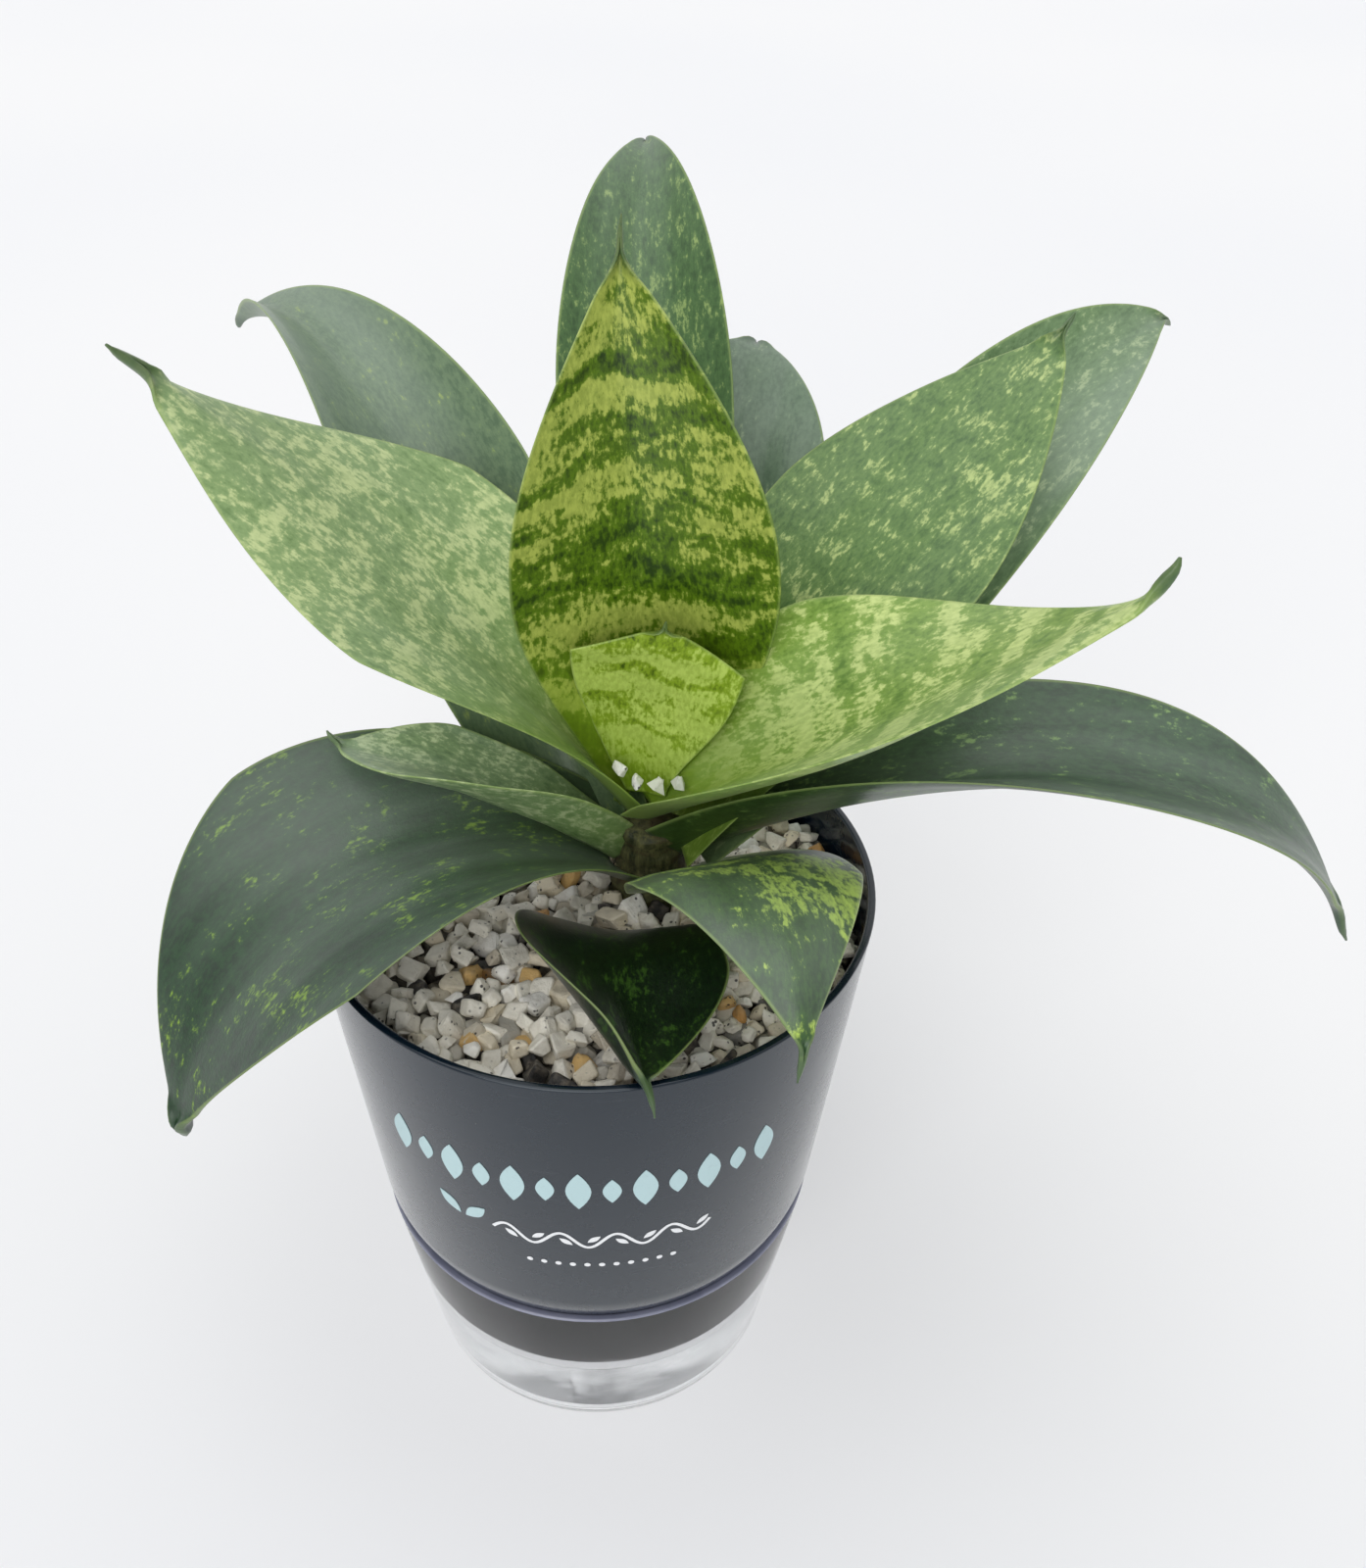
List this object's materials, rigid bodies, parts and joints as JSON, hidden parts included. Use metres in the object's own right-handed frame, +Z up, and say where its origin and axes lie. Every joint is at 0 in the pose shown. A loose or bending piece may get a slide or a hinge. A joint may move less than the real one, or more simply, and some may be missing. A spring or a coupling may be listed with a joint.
{
  "type": "potted snake plant",
  "caption": "Bird's-nest snake plant with mottled pointed leaves in a dark pot that plugs into a clear water reservoir, topped with white gravel.",
  "frame": {"origin": "centre of the reservoir's flat underside", "axes": "+Z up; the face with the printed ornament and the drooping front leaves looks towards -Y; +X is to the right seen from that side"},
  "size_m": [0.2635, 0.2002, 0.2932],
  "materials": {
    "clear_plastic": "clear, glossy, faint violet top edge",
    "dark_plastic": "satin charcoal",
    "water": "clear water",
    "soil": "damp potting mix",
    "gravel": "pale angular chips",
    "stem": "fibrous plant stem",
    "leaf": "thick waxy leaf, mottled light and dark green with a pale margin"
  },
  "bodies": {
    "root": {"water_reservoir": "clear_plastic", "planter_pot": "dark_plastic", "reservoir_water": "water", "potting_mix": "soil", "gravel_bed": "gravel", "plant_stem": "stem", "centre_young_leaf": "leaf", "centre_tall_leaf": "leaf", "left_upper_leaf": "leaf", "right_upper_leaf": "leaf", "right_lower_leaf": "leaf", "back_tall_leaf": "leaf", "back_small_leaf": "leaf", "left_far_leaf": "leaf", "right_far_leaf": "leaf", "right_drooping_leaf": "leaf", "left_drooping_leaf": "leaf", "left_small_leaf": "leaf", "front_drooping_leaf": "leaf", "front_low_leaf": "leaf", "crown_stone_left": "gravel", "crown_stone_front": "gravel", "crown_stone_right": "gravel", "crown_stone_back": "gravel"}
  },
  "joints": []
}
